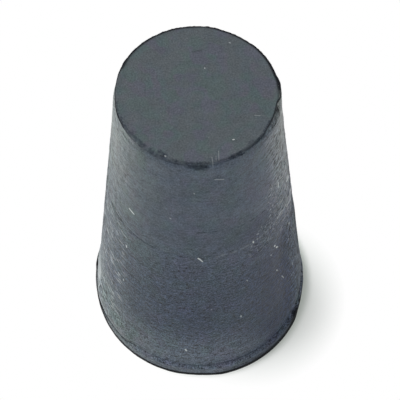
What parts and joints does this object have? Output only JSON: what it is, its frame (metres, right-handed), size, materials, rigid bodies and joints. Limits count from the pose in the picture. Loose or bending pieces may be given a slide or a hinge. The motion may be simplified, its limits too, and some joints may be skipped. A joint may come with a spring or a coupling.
{
  "type": "rubber stopper",
  "caption": "Solid black rubber stopper: a tapered plug with a low lip round its large end, for closing a flask or tube.",
  "frame": {"origin": "centre of the large end's face, which is the lowest point", "axes": "+Z along the taper's axis, from the large end up to the small end; the section is the same all round"},
  "size_m": [0.0156, 0.0156, 0.0254],
  "materials": {
    "black_rubber": "satin to dull moulded rubber, with fine pits, scuffs and specks of dust"
  },
  "bodies": {
    "root": {"stopper": "black_rubber"}
  },
  "joints": []
}
